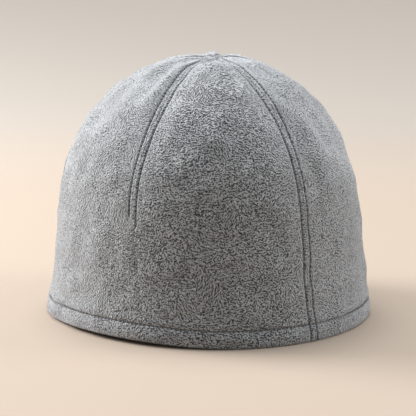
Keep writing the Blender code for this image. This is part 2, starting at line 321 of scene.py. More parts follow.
# %% [markdown]
# ## Seams, darts and their stitches
#
# Two rows of stitches run along every seam and hold the turned-back cloth inside. Each pulls a narrow groove
# into the fleece, and between them a soft welt stands up, with the seam as a fine line in its middle. The
# darts look the same but end above the hem, where one row's last stitches run across to the other. These
# are real relief, so sums of bell curves across the seam push the mesh. The needle's holes are too small for
# it and are left to the material, which paints shade into the rows and their holes and paints the welts
# lighter: the mesh tells it how deep in a row each point lies.

# %% Grooves and welts
STITCH_PITCH = 0.0026
GROOVE_DEPTH, GROOVE_HALF = 0.00075, 0.00044
ROW_SHADE_HALF = 0.00054  # half width of the line of painted shade that a row draws
WELT_RISE, WELT_HALF = 0.00032, 0.00175
WELT_PAINTED_LIGHT, WELT_PAINTED_LIGHT_HALF = 0.22, 0.0014  # painted light: how much lighter the welt is painted, as if its raised pile caught more light
PRESSED_HALF, PRESSED_REACH = 0.0036, 0.012  # the pile is pressed flat beside a row
PRESSED_WELT = 0.48  # and by this share between the rows
SEAM_LINE_DEPTH, SEAM_LINE_HALF, SEAM_LINE_FADE = 0.00008, 0.00034, 0.004
ROW_END, ROW_FADE = 0.0030, 0.0035  # the rows end this far from the crown's point, over this length
DART_HOOK, HOOK_ACROSS = 0.0055, 2.1  # the last stitches of a dart cross over, by this many half gauges
SHORT_ROW = 0.0045  # a dart's left row ends this far above its foot
TRACE_DEPTH, TRACE_HALF = 0.00030, 0.0016  # the faint fold that runs on below a dart
TRACE_END, TRACE_FADE = 0.014, 0.012


def row_offset(along, side, is_dart):
    """How far beside its seam a row of stitches runs: half the gauge, and a dart's right row hooks over."""
    half = 0.5 * STITCH_GAUGE * side
    if not is_dart or side < 0:
        return np.full_like(along, half)
    return half * (1.0 - HOOK_ACROSS * smooth_rise((FOOT_LENGTH + 0.4 * DART_HOOK - along) / DART_HOOK))


def row_strength(along, side, is_dart):
    """1 along a row of stitches, fading out at the crown and below a dart's foot."""
    near_crown = smooth_rise((FULL_LENGTH - along - ROW_END) / ROW_FADE)
    if not is_dart:
        return near_crown
    end = FOOT_LENGTH + (SHORT_ROW if side < 0 else -0.6 * DART_HOOK)
    return near_crown * smooth_rise((along - end) / ROW_FADE)


def groove(off, half=GROOVE_HALF):
    """The shape of a row's groove: a bell across it, 1 at its middle."""
    return np.exp(-((off / half) ** 2))


def sewn_in(azimuth, step, along):
    """How far seams and darts set the cloth in, how flat the pile lies there, and how deep in a row it is,
    for painted shade in the rows and painted light on the welts.
    """
    depth, flat, row_shade_and_welt_light = (np.zeros(along.shape) for _ in range(3))
    for seam in SIDE_SEAMS + DARTS:
        is_dart = seam in DARTS
        beside = seam_distance(azimuth, step, seam)
        for side in (-1, 1):
            off = beside - row_offset(along, side, is_dart)
            strength = row_strength(along, side, is_dart)
            depth += strength * GROOVE_DEPTH * groove(off)
            # Painted shade along the groove of each row.
            row_shade_and_welt_light = np.maximum(row_shade_and_welt_light, strength * groove(off, ROW_SHADE_HALF))
            pressed = np.where(off * side > 0.0, groove(off, PRESSED_HALF), PRESSED_WELT)
            flat = np.maximum(flat, strength * pressed * (np.abs(beside) < PRESSED_REACH))
        sewn = row_strength(along, -1, is_dart)
        # Painted light: the welt between the two rows is painted lighter.
        row_shade_and_welt_light -= WELT_PAINTED_LIGHT * sewn * np.exp(-((beside / WELT_PAINTED_LIGHT_HALF) ** 4))
        depth -= sewn * WELT_RISE * np.exp(-((beside / WELT_HALF) ** 4))
        line = sewn if is_dart else smooth_rise((FULL_LENGTH - along) / SEAM_LINE_FADE)
        depth += line * SEAM_LINE_DEPTH * groove(beside, SEAM_LINE_HALF)
        if is_dart:
            below = smooth_rise((FOOT_LENGTH - along) / TRACE_FADE)
            below = below * smooth_rise((along - TRACE_END) / TRACE_FADE)
            depth += below * TRACE_DEPTH * groove(beside, TRACE_HALF)
    return depth, flat, row_shade_and_welt_light


# %% [markdown]
# ## The hem
#
# The lower edge is folded up inside and held by one row of stitches, a centimetre above the fold. Below
# the stitches two layers lie on each other, so the hem swells a little and its edge is round.

# %% The hem's profile
RIDGE, RIDGE_UP, RIDGE_HALF = 0.00025, 0.0028, 0.0022  # the cloth just above the hem's stitches stands out


def hem_set_in(step):
    """How far the hem's profile sets the skin in, at each height.

    The folded edge is a quarter round of the fold's radius, the band swells by a hill between the edge
    and the stitches, and the stitches pull in a groove like a seam's.
    """
    up = outline(step)[0] * HEIGHT
    edge = HEM_FOLD * (1.0 - np.sqrt(1.0 - np.clip(1.0 - up / HEM_FOLD, 0.0, 1.0) ** 2))
    swell = HEM_PUFF * bump((up - 0.52 * HEM_STITCH) / (0.5 * HEM_STITCH))
    above = RIDGE * bump((up - HEM_STITCH - RIDGE_UP) / RIDGE_HALF)
    return edge - swell - above + GROOVE_DEPTH * groove(up - HEM_STITCH)


print("a seam's groove in mm:", 1000 * GROOVE_DEPTH, "welt:", 1000 * WELT_RISE)

# %% [markdown]
# ## Building meshes from grids
#
# A grid of points becomes a mesh in one go: the corners of all its faces are an array of indices, so no
# loop runs over the points. The outer face needs a fine grid and the plain inner face a coarse one, so a
# strip of triangles joins four short edges to one long edge where the two meet.

# %% Helpers for meshes


def grid_faces(index):
    """Quads between neighbouring points of an array of indices, as an array with four columns."""
    return np.stack([index[:-1, :-1], index[:-1, 1:], index[1:, 1:], index[1:, :-1]], -1).reshape(-1, 4)


def strip_faces(fine, coarse):
    """Triangles between a fine line of indices and a coarse one, with four fine edges for each coarse."""
    a, b = coarse[:-1], coarse[1:]
    f = [fine[k : len(fine) - 4 + k : 4] for k in range(4)] + [fine[4::4]]
    corners = [(f[0], f[1], a), (f[1], f[2], a), (f[2], b, a), (f[2], f[3], b), (f[3], f[4], b)]
    return np.concatenate([np.stack(three, -1) for three in corners])


def make_piece(name, points, quads, triangles, material, nodes, attributes=None):
    """A named object with this mesh, riding on the cap and standing for its solids."""
    quads, triangles = np.asarray(quads, int).reshape(-1, 4), np.asarray(triangles, int).reshape(-1, 3)
    mesh = bpy.data.meshes.new(name)
    mesh.vertices.add(len(points))
    mesh.vertices.foreach_set("co", np.asarray(points, np.float32).ravel())
    corners = np.concatenate([quads.ravel(), triangles.ravel()])
    mesh.loops.add(len(corners))
    mesh.loops.foreach_set("vertex_index", corners.astype(np.int32))
    mesh.polygons.add(len(quads) + len(triangles))
    starts = np.concatenate([np.arange(len(quads)) * 4, quads.size + np.arange(len(triangles)) * 3])
    mesh.polygons.foreach_set("loop_start", starts.astype(np.int32))
    mesh.update(calc_edges=True)
    for key, values in (attributes or {}).items():
        kind, field = ("FLOAT_VECTOR", "vector") if values.ndim == 2 else ("FLOAT", "value")
        layer = mesh.attributes.new(key, kind, "POINT")
        layer.data.foreach_set(field, values.astype(np.float32).ravel())
    work = bmesh.new()
    work.from_mesh(mesh)
    bmesh.ops.recalc_face_normals(work, faces=work.faces)
    work.to_mesh(mesh)
    work.free()
    mesh.materials.append(material)
    mesh.shade_smooth()
    piece = bpy.data.objects.new(name, mesh)
    bpy.context.scene.collection.objects.link(piece)
    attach(piece, "root")
    if nodes:
        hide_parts(*nodes)
    print(name, len(quads) * 2 + len(triangles), "triangles")


# %% [markdown]
# ## The look of fleece
#
# From a step away the pile reads as pebbles and short worms, light on top and dark between, with a pale
# fuzz wherever the cloth turns away from the eye. Hair particles would be far too many, and plain noise has
# lumps of every size. A texture of waves with one wavelength gives worms of one size, and an attribute of
# the mesh tells it which way they lie. The dark between the worms is painted shade, in the roots' colour.
# It is a node group, because both sides of the cap wear it.

# %% Helpers for node trees


def new_material(name):
    """A material with a Principled shader, and that shader."""
    material = bpy.data.materials.new(name)
    material.use_nodes = True
    return material, material.node_tree.nodes["Principled BSDF"]


def add_node(tree, kind, inputs=(), **settings):
    """A node with its settings, and with values or links for its inputs."""
    node = tree.nodes.new(kind)
    for key, value in settings.items():
        setattr(node, key, value)
    for key, value in dict(inputs).items():
        if isinstance(value, bpy.types.NodeSocket):
            tree.links.new(value, node.inputs[key])
        else:
            node.inputs[key].default_value = value
    return node


def add_math(tree, operation, first, second=0.0, third=0.0):
    """The result of one sum."""
    node = tree.nodes.new("ShaderNodeMath")
    node.operation = operation
    for socket, value in zip(node.inputs, (first, second, third)):
        if isinstance(value, bpy.types.NodeSocket):
            tree.links.new(value, socket)
        else:
            socket.default_value = value
    return node.outputs[0]


# %% Sizes and shares of the pile
STRAY_SCALE, STRAY_PUSH = 520.0, 0.0008  # the worms wander by this much, in metres
WAVES_IN_CLUMP = 1.15
FIBRE_SCALE, FIBRE_SHARE, FIBRE_RELIEF = 1300.0, 0.54, 0.06
CLOUD_SCALE, CLOUD_SHARE = 75.0, 0.24  # patches of lighter and darker cloth
PLAIN_TONE, NAP_TONE = 0.305, -0.03  # the level of the tips, and what raised pile takes off it
ROOT_LEVEL, TIP_LEVEL = 0.36, 0.68  # levels that show the roots' colour, painted shade between the clumps, and the tips' colour
ROW_SHADE, ROW_DENT = 0.88, 0.35  # how dark the painted shade of a row of stitches is, and how deep its bump is
HOLE_TURN = 2.0 * math.pi / STITCH_PITCH  # a whole turn from one hole of the needle to the next
THREAD_SHADE = 0.18  # share of a row's painted shade that is left between two holes
TIP_GLOSS = 0.12


# %% What the mesh tells the material


def mesh_value(tree, key, output="Fac"):
    """The mesh's attribute of this name."""
    return add_node(tree, "ShaderNodeAttribute", attribute_name=key).outputs[output]


def painted_row_shade(tree):
    """The painted shade of a row of stitches: by its depth, and more at the holes, one to a stitch. Below 0,
    on a welt, it is painted light.

    A hole is half of 1 + cosine of the turn made along the row, squared.
    """
    wave = add_math(tree, "COSINE", add_math(tree, "MULTIPLY", mesh_value(tree, "stitch_run"), HOLE_TURN))
    hole = add_math(tree, "POWER", add_math(tree, "MULTIPLY_ADD", wave, 0.5, 0.5), 2.0)
    share = add_math(tree, "MULTIPLY_ADD", hole, 1.0 - THREAD_SHADE, THREAD_SHADE)
    return add_math(tree, "MULTIPLY", mesh_value(tree, "row_shade_and_welt_light"), share)


# %% Waves and noise


def noise(tree, place, scale, detail, roughness, output="Fac"):
    """A cloudy texture with so many features in a metre."""
    inputs = {"Vector": place, "Scale": scale, "Detail": detail, "Roughness": roughness}
    return add_node(tree, "ShaderNodeTexNoise", inputs).outputs[output]


def worm_waves(tree, place, clumps):
    """Waves of one size that lie as the mesh says, read at places that stray a little."""
    stray = noise(tree, place, STRAY_SCALE, 1.0, 0.5, "Color")
    centred = add_node(tree, "ShaderNodeVectorMath", {0: stray, 1: (0.5, 0.5, 0.5)}, operation="SUBTRACT")
    pushed = add_node(tree, "ShaderNodeVectorMath", {0: centred.outputs[0]}, operation="SCALE")
    pushed.inputs["Scale"].default_value = STRAY_PUSH
    warped = add_node(tree, "ShaderNodeVectorMath", {0: place, 1: pushed.outputs[0]}, operation="ADD")
    inputs = {
        "Vector": warped.outputs[0],
        "Scale": clumps,
        "Frequency": WAVES_IN_CLUMP,
        "Anisotropy": mesh_value(tree, "combed"),
        "Orientation": mesh_value(tree, "lie", "Vector"),
    }
    return add_node(tree, "ShaderNodeTexGabor", inputs, gabor_type="3D").outputs["Value"]


# %% The pile, as a node group


def pile_sockets(tree):
    """The group's named inputs and outputs."""
    for name in ("Tip Colour", "Shaded Root Colour"):
        tree.interface.new_socket(name, in_out="INPUT", socket_type="NodeSocketColor")
    for name in ("Clumps per Metre", "Depth"):
        tree.interface.new_socket(name, in_out="INPUT", socket_type="NodeSocketFloat")
    for name, kind in (("Colour", "Color"), ("Roughness", "Float"), ("Normal", "Vector")):
        tree.interface.new_socket(name, in_out="OUTPUT", socket_type="NodeSocket" + kind)


def pile_group():
    """Colours, roughness and normals of brushed fleece.

    The level is worms * nap + fibres + a plain tone. Low levels show the roots' colour, which is painted
    shade between the clumps, high ones the tips'. Rows of stitches get painted shade, and their welts painted
    light.
    """
    tree = bpy.data.node_groups.new("fleece_pile", "ShaderNodeTree")
    pile_sockets(tree)
    given = tree.nodes.new("NodeGroupInput").outputs
    place = add_node(tree, "ShaderNodeTexCoord").outputs["Object"]
    nap = mesh_value(tree, "nap")
    dark = painted_row_shade(tree)
    worms = worm_waves(tree, place, given["Clumps per Metre"])
    fibres = noise(tree, place, FIBRE_SCALE, 2.0, 0.6)
    cloudy = noise(tree, place, CLOUD_SCALE, 3.0, 0.6)
    raised = add_math(tree, "MULTIPLY", add_math(tree, "SUBTRACT", worms, 0.5), nap)
    pressed = add_math(tree, "MULTIPLY_ADD", nap, NAP_TONE, PLAIN_TONE)
    level = add_math(tree, "MULTIPLY_ADD", fibres, FIBRE_SHARE, add_math(tree, "ADD", raised, pressed))
    steps = {"Value": level, "From Min": ROOT_LEVEL, "From Max": TIP_LEVEL}
    tips = add_node(tree, "ShaderNodeMapRange", steps, interpolation_type="SMOOTHSTEP").outputs[0]
    # Painted shade: low levels take the roots' dark colour, standing for the shade between the clumps.
    mixed = add_node(tree, "ShaderNodeMix", {"Factor": tips}, data_type="RGBA")
    tree.links.new(given["Shaded Root Colour"], mixed.inputs[6])
    tree.links.new(given["Tip Colour"], mixed.inputs[7])
    # Painted shade in the rows' grooves and at the needle's holes, and painted light on the welts.
    shade = add_math(tree, "MULTIPLY_ADD", dark, -ROW_SHADE, 1.0)
    cloud = add_math(tree, "MULTIPLY_ADD", cloudy, CLOUD_SHARE, 1.0 - 0.5 * CLOUD_SHARE)
    toned = add_node(tree, "ShaderNodeVectorMath", {0: mixed.outputs[2]}, operation="SCALE")
    tree.links.new(add_math(tree, "MULTIPLY", shade, cloud), toned.inputs["Scale"])
    fine = add_math(tree, "MULTIPLY_ADD", fibres, FIBRE_RELIEF, raised)
    height = add_math(tree, "MULTIPLY_ADD", dark, -ROW_DENT, fine)
    dent = add_node(tree, "ShaderNodeBump", {"Height": height, "Strength": 1.0, "Distance": given["Depth"]})
    end = tree.nodes.new("NodeGroupOutput").inputs
    tree.links.new(toned.outputs[0], end["Colour"])
    tree.links.new(add_math(tree, "MULTIPLY_ADD", tips, -TIP_GLOSS, 1.0), end["Roughness"])
    tree.links.new(dent.outputs["Normal"], end["Normal"])
    return tree


PILE = pile_group()
print("nodes in the pile's group:", len(PILE.nodes))

# %% Fleece materials


def fleece_material(name, tip, root, clumps, depth, sheen):
    """Fleece with these colours at the tips and roots of its pile, the roots' being painted shade between the
    clumps. Sheen is its fuzz.
    """
    material, shader = new_material(name)
    pile = add_node(material.node_tree, "ShaderNodeGroup", node_tree=PILE)
    values = {"Tip Colour": tip, "Shaded Root Colour": root, "Clumps per Metre": clumps, "Depth": depth}
    for key, value in values.items():
        pile.inputs[key].default_value = value
    for source, target in (("Colour", "Base Color"), ("Roughness", "Roughness"), ("Normal", "Normal")):
        material.node_tree.links.new(pile.outputs[source], shader.inputs[target])
    shader.inputs["Specular IOR Level"].default_value = 0.15
    shader.inputs["Sheen Weight"].default_value = sheen
    shader.inputs["Sheen Roughness"].default_value = 0.48
    shader.inputs["Sheen Tint"].default_value = (0.92, 0.94, 1.0, 1.0)
    return material


# The roots' dark colours are painted shade between the clumps.
TIPS, SHADED_ROOTS = (0.360, 0.376, 0.394, 1.0), (0.036, 0.0375, 0.040, 1.0)
# Painted shade: the inside's tips are a darker copy of the outside's, for the shade inside the cap.
INNER_SHADED_TIPS, INNER_SHADED_ROOTS = (0.26, 0.270, 0.288, 1.0), (0.07, 0.073, 0.079, 1.0)
FLEECE = fleece_material("fleece", TIPS, SHADED_ROOTS, clumps=650.0, depth=0.0017, sheen=0.60)
INSIDE = fleece_material("fleece_inside", INNER_SHADED_TIPS, INNER_SHADED_ROOTS, clumps=600.0, depth=0.0012, sheen=0.5)
print("materials:", FLEECE.name, INSIDE.name)

# %% [markdown]
# ## The two halves of the cap
#
# The real cap is cut from two pieces of fleece, front and back, with two darts each. Here each half is a
# grid: its columns run from one side seam to the other and crowd together beside the seams and darts, and
# its rows run from the hem to the crown. The hem and the seams push the plain skin in, and the pile pushes
# it out.

# %% Columns and rows
BESIDE_SEAM = 0.001 * np.array([0.0, 0.25, 0.6, 1.0, 1.4, 1.75, 2.05, 2.3, 2.6, 2.95, 3.4, 3.95, 4.6, 5.3])
FREE_COLUMNS = 90  # between the crowded ones of a petal
INNER_STRIDE = 4  # the inner face has one column or row for this many outside


def petal_columns(step):
    """Turn from a petal's left seam to each of its columns, in degrees, for every row."""
    radius = np.maximum(mean_radius(step), 0.0004)[:, None]
    half = np.radians(0.5 * PANEL) * radius
    near = np.minimum(BESIDE_SEAM, 0.55 * half * BESIDE_SEAM / BESIDE_SEAM[-1])
    spare = half - near[:, -1:]
    shares = np.linspace(-1.0, 1.0, FREE_COLUMNS + 1)[1:-1]
    from_left = np.concatenate([near, half + spare * shares, 2.0 * half - near[:, ::-1]], axis=1)
    return np.degrees(from_left / radius)


def cap_rows():
    """Steps of the rows: close at the hem's edge and stitches, and then about 0.8 mm apart."""
    edge = 0.001 * np.array([0.0, 0.08, 0.3, 0.65, 1.1, 1.6])
    band = np.concatenate([edge, np.linspace(0.0023, 0.0083, 8), np.linspace(0.0087, 0.0119, 9)])
    rest = np.linspace(0.0126, FULL_LENGTH - 0.0012, 249 - len(band))
    return np.interp(np.concatenate([band, rest]), LENGTHS, STEPS)


# %% Relief and lie of the pile on the cap
CLUMP_RELIEF, TUFT_RELIEF, RIPPLE_RELIEF = 0.00006, 0.00003, 0.00022
LEANING_PETAL, LEANING_HALF_TURN, LEAN = 2.0, 34.0, 2.0 * math.radians(48.0)  # one petal leans by 48 degrees
WANDER_PULL, LEAN_PULL, SEAM_PULL = 0.9, 1.9, 3.2  # what pulls the pile to lie one way
COMBED_GAIN, COMBED_LOSS, COMBED_MOST = 0.36, 0.16, 0.80


def fleece_relief(azimuth, step, calm):
    """Height of the pile over the plain skin: clumps, tufts and ripples, calmer beside seams."""
    x, y = cloth_place(azimuth, step)
    small = CLUMP_RELIEF * read_map(CLUMPS, x, y) + TUFT_RELIEF * read_map(TUFTS, x, y)
    return small * calm + RIPPLE_RELIEF * read_map(RIPPLES, x, y) * (0.4 + 0.6 * calm)


def pile_lie(azimuth, step, around, up, flat):
    """The direction in which the clumps repeat, across which they are long, and how long they are.

    Angles are doubled, because a streak has no front end: one petal's lean, the wandering of two maps and
    an upright lie beside the seams are added as vectors, and half the sum's angle is the streak's.
    """
    x, y = cloth_place(azimuth, step)
    steady = LEAN_PULL * bump((azimuth - LEANING_PETAL) / LEANING_HALF_TURN)
    wander_a = WANDER_PULL * read_map(LEAN_A, x, y) + steady * math.cos(LEAN) - SEAM_PULL * flat**2
    wander_b = WANDER_PULL * read_map(LEAN_B, x, y) + steady * math.sin(LEAN)
    streak = 0.5 * np.arctan2(wander_b, wander_a)[..., None]
    combed = np.clip(COMBED_GAIN * np.hypot(wander_a, wander_b) - COMBED_LOSS, 0.0, COMBED_MOST)
    return np.cos(streak) * up - np.sin(streak) * around, combed


# %% Make both halves
PLAIN_LIE = ((0.36, 0.48, 0.80),)  # upwards, but the waves' texture comes out black on an exact +Z
PLAIN_COMBED, INSIDE_NAP, TIP_NAP = 0.2, 0.8, 0.4
CALMER_PILE_AND_SHADE = ((-10.0, 50.0, 0.42), (135.0, 48.0, 0.42), (58.0, 45.0, -0.32))  # azimuth, half turn, how much calmer: less relief and painted shade at the sides seen edge-on, as sheen washes the pile out, more facing the camera
HALF_GAP = 0.00004  # each half stops this short of its side seams
BAND = 0.0016  # within this of the hem's stitches, a place along a row is counted round the hem


def cap_half(name, node, first_seam):
    """A fine outer grid, a coarse inner grid, and strips that join them along every edge."""
    step = cap_rows()
    petals = [first_seam + PANEL * k + petal_columns(step) for k in range(3)]
    azimuth = np.concatenate([petals[0]] + [petal[:, 1:] for petal in petals[1:]], axis=1)
    short = np.degrees(HALF_GAP / np.maximum(mean_radius(step), 0.0012))
    azimuth[:, 0] += short
    azimuth[:, -1] -= short
    step = np.broadcast_to(step[:, None], azimuth.shape)
    along = np.interp(step, STEPS, LENGTHS)
    skin, around, up, out = skin_frame(azimuth, step)
    is_hem = smooth_rise((0.020 - along) / 0.006)[..., None]
    level = unit(out * (1.0, 1.0, 0.0))
    out = unit(out + (level - out) * is_hem)
    sewn, flat, row_shade_and_welt_light = sewn_in(azimuth, step, along)
    near_edge = smooth_rise(along / 0.003) * smooth_rise((FULL_LENGTH - along - 0.002) / 0.010)
    calm = (1.0 - 0.75 * flat) * near_edge
    push = fleece_relief(azimuth, step, calm) - sewn - hem_set_in(step)
    outer = skin + out * push[..., None]
    coarse = (slice(None, None, INNER_STRIDE),) * 2
    inner = (skin - out * CLOTH)[coarse]
    tip = np.array([[CROWN_LEFT, CROWN_BACK, skin[-1, 0, 2] - 0.0006]])
    inner_tip = tip - (0.0, 0.0, CLOTH)

    fine = np.arange(outer[..., 0].size).reshape(azimuth.shape)
    rough = fine.size + np.arange(inner[..., 0].size).reshape(inner.shape[:2])
    top, inner_top = fine.size + rough.size, fine.size + rough.size + 1
    lie, combed = pile_lie(azimuth, step, around, up, flat)
    points = np.concatenate([outer.reshape(-1, 3), inner.reshape(-1, 3), tip, inner_tip])
    lies = np.concatenate([lie.reshape(-1, 3), lie[coarse].reshape(-1, 3), np.tile(PLAIN_LIE, (2, 1))])
    # Painted shade between the clumps, with the relief, is calmer at the sides seen edge-on and stronger
    # facing the camera.
    brushed = sum(share * bump(turned(azimuth, middle) / wide) for middle, wide, share in CALMER_PILE_AND_SHADE)
    nap = (1.0 - 0.62 * flat) * (1.0 - brushed)
    naps = np.concatenate([nap.ravel(), np.full(rough.size, INSIDE_NAP), [TIP_NAP, TIP_NAP]])
    above_hem = outline(step)[0] * HEIGHT - HEM_STITCH
    # Painted shade along the hem's row of stitches.
    row_shade_and_welt_light = np.maximum(row_shade_and_welt_light, groove(above_hem, 1.2 * ROW_SHADE_HALF))
    around_hem = np.radians(azimuth) * 0.25 * (HEM_WIDTH + HEM_DEPTH)
    run = np.where(np.abs(above_hem) < BAND, around_hem, along)
    inside = np.zeros(rough.size + 2)
    attributes = {
        "nap": naps,
        "lie": lies,
        "row_shade_and_welt_light": np.concatenate([row_shade_and_welt_light.ravel(), inside]),
        "stitch_run": np.concatenate([run.ravel(), inside]),
        "combed": np.concatenate([combed.ravel(), inside + PLAIN_COMBED]),
    }
    triangles = [
        strip_faces(fine[:, 0], rough[:, 0]),
        strip_faces(fine[:, -1], rough[:, -1]),
        strip_faces(fine[0], rough[0]),
        np.stack([fine[-1, :-1], fine[-1, 1:], np.full(fine.shape[1] - 1, top)], -1),
        np.stack([rough[-1, :-1], rough[-1, 1:], np.full(rough.shape[1] - 1, inner_top)], -1),
        [(fine[-1, 0], top, inner_top), (fine[-1, 0], inner_top, rough[-1, 0])],
        [(fine[-1, -1], top, inner_top), (fine[-1, -1], inner_top, rough[-1, -1])],
    ]
    quads = np.concatenate([grid_faces(fine), grid_faces(rough)])
    make_piece(name, points, quads, np.concatenate(triangles), FLEECE, [node], attributes)


cap_half("cap_front", "front_piece", SIDE_SEAMS[0])
cap_half("cap_back", "back_piece", SIDE_SEAMS[1])

# %% [markdown]
# ## Inside: the turned-up hem and the allowances
#
# Inside, the hem's cloth is folded up all round, and the edges of every seam and dart are turned back and
# held flat by the topstitching. Each is a closed profile carried along its path, the hem's round the cap
# and an allowance's up along its seam.

# %% Profile carried along a path


def carried(name, rings, is_round, node, nap):
    """Faces over rings of points in order. A round one closes on itself, and any other gets flat ends."""
    count, around = rings.shape[:2]
    index = np.arange(count * around).reshape(count, around)
    index = np.concatenate([index, index[:, :1]], axis=1)
    if is_round:
        index = np.concatenate([index, index[:1]], axis=0)
    triangles, points = [], [rings.reshape(-1, 3)]
    if not is_round:
        for line, middle in ((index[0], count * around), (index[-1], count * around + 1)):
            triangles.append(np.stack([line[:-1], line[1:], np.full(around, middle)], -1))
        points.append(np.stack([rings[0].mean(0), rings[-1].mean(0)]))
    points = np.concatenate(points)
    lie = np.tile(PLAIN_LIE, (len(points), 1))
    attributes = {"nap": np.full(len(points), nap), "combed": np.full(len(points), PLAIN_COMBED), "lie": lie}
    triangles = np.concatenate(triangles) if triangles else []
    make_piece(name, points, grid_faces(index), triangles, INSIDE, [node], attributes)


# %% The turned-up hem
INSIDE_RELIEF, INSIDE_TUFTS = 0.00012, 0.00010
STITCH_DIP, STITCH_DIP_HALF = 0.0006, 0.0011


def hem_turn_up():
    """The folded-up cloth: a closed profile of height and set-in, carried once round the cap."""
    azimuth = np.linspace(-180.0, 180.0, 481)[:-1]
    corner = HEM_FOLD * (1.0 - math.cos(math.radians(45.0)))
    near, far = CLOTH + GAP, 2.0 * CLOTH + GAP
    wall = np.linspace(HEM_FOLD, TURN_UP - corner, 12)
    up = np.concatenate([[0.0, 0.0, corner], wall, [TURN_UP, TURN_UP], wall[::-3]])
    depth = np.concatenate([[near, far - HEM_FOLD, far - corner], np.full(12, far), [far - corner, near]])
    depth = np.concatenate([depth, np.full(len(wall[::-3]), near)])
    azimuth, step = np.broadcast_arrays(azimuth[:, None], step_at(up)[None, :])
    skin, _, _, out = skin_frame(azimuth, step)
    out = unit(out * (1.0, 1.0, 0.0))
    x, y = cloth_place(azimuth, step)
    is_inner = (depth > near + 0.002)[None, :]
    rough = INSIDE_RELIEF * read_map(CLUMPS, x, y) + INSIDE_TUFTS * read_map(TUFTS, x, y)
    dip = STITCH_DIP * bump((up - HEM_STITCH) / STITCH_DIP_HALF)[None, :]
    moved = depth[None, :] + np.where(is_inner, rough - dip, 0.0)
    carried("hem_turned_up", skin - out * moved[..., None], True, "hem_turn_up", 0.9)


hem_turn_up()

# %% The allowances inside
ALLOWANCE_ROW = 0.0011  # from ring to ring
EDGE_THIN = 0.45  # how much thinner the cut edges are
CUT_DEPTH, CUT_HALF = 0.0004, 0.0004  # the seam's own line, between the two turned-back edges
ALLOWANCE_RELIEF = 0.00008
ACROSS = 19  # points across one face of the profile


def allowance(name, seam, foot, foot_share):
    """The cloth turned back along a seam, from a height at its foot to just below the crown.

    Its profile is a flat loop: across the wall at one depth and back at another, thinner at its cut edges
    and along the two rows of stitches.
    """
    stop = np.interp(-ALLOWANCE_STOP, -mean_radius(STEPS), STEPS)
    begin, end = np.interp([step_at(foot), stop], STEPS, LENGTHS)
    along = np.linspace(begin, end, int((end - begin) / ALLOWANCE_ROW))
    step = np.interp(along, LENGTHS, STEPS)
    rise = outline(step)[0] * HEIGHT - foot
    widening = np.clip(foot_share + rise / DART_TAPER, 0.0, 1.0)
    crowding = np.clip(0.5 * mean_radius(step) / ALLOWANCE_STOP, 0.0, 1.0)
    turn = np.degrees(ALLOWANCE * widening * crowding / mean_radius(step))
    share = np.sin(np.linspace(-0.5, 0.5, ACROSS) * np.pi)
    thick = ALLOWANCE_CLOTH * (1.0 - EDGE_THIN * np.abs(share) ** 8)
    ring = np.concatenate([share, share[::-1]])
    depth = np.concatenate([np.zeros(ACROSS), thick[::-1]])
    azimuth = seam + turn[:, None] * ring
    step = np.broadcast_to(step[:, None], azimuth.shape)
    skin, _, _, out = skin_frame(azimuth, step)
    x, y = cloth_place(azimuth, step)
    beside = seam_distance(azimuth, step, seam)
    rows = STITCH_DIP * groove(np.abs(beside) - 0.5 * STITCH_GAUGE) + CUT_DEPTH * groove(beside, CUT_HALF)
    is_far = (np.arange(len(ring)) >= ACROSS)[None, :]
    rough = ALLOWANCE_RELIEF * read_map(CLUMPS, x, y)
    moved = CLOTH + GAP + depth + np.where(is_far, rough - rows, 0.0)
    moved = np.maximum(moved, CLOTH + GAP)
    carried(name, skin - out * moved[..., None], False, name.replace("_allowance", ""), INSIDE_NAP)


for seam, side_name in zip(SIDE_SEAMS[::-1], ("left", "right")):
    allowance("side_seam_allowance_" + side_name, seam, TURN_UP + 0.5 * CLOTH, 1.0)
DART_PLACES = {"front_left": 30.0, "front_right": -30.0, "back_left": 150.0, "back_right": 210.0}
for dart_name, seam in DART_PLACES.items():
    allowance("dart_allowance_" + dart_name, seam, DART_FOOT, 0.12)

# %% [markdown]
# ## The thread
#
# Each stitch is a short length of thread that comes up through one hole and goes down at the next, deep in
# its groove. A thousand copies of one object would be slow to export, so a stitch is a tube with a few
# sides, and a whole row is worked out as one array.

# %% Stitches along a line
THREAD_RADIUS = 0.00020
THREAD_SUNK = 0.60 * GROOVE_DEPTH
STITCH_HALF = 0.42  # of the way from hole to hole
STITCH_SHAPE = np.array(  # place along half a stitch, rise and thickness in thread radii
    [(-1.0, -3.2, 0.5), (-0.70, -0.9, 0.9), (0.0, 0.6, 1.0), (0.70, -0.9, 0.9), (1.0, -3.2, 0.5)]
)


def thread_material():
    """Spun polyester sewing thread in a darker grey, with a fine twist."""
    material, shader = new_material("thread")
    tree = material.node_tree
    place = add_node(tree, "ShaderNodeTexCoord").outputs["Object"]
    twist = add_node(tree, "ShaderNodeTexNoise", {"Vector": place, "Scale": 5200.0, "Detail": 1.0})
    ramp = add_node(tree, "ShaderNodeMix", {"Factor": twist.outputs["Fac"]}, data_type="RGBA")
    ramp.inputs[6].default_value = (0.060, 0.060, 0.064, 1.0)
    ramp.inputs[7].default_value = (0.170, 0.169, 0.176, 1.0)
    dent = add_node(tree, "ShaderNodeBump", {"Height": twist.outputs["Fac"], "Distance": 0.00008})
    tree.links.new(ramp.outputs[2], shader.inputs["Base Color"])
    tree.links.new(dent.outputs["Normal"], shader.inputs["Normal"])
    shader.inputs["Roughness"].default_value = 0.7
    shader.inputs["Sheen Weight"].default_value = 0.2
    return material


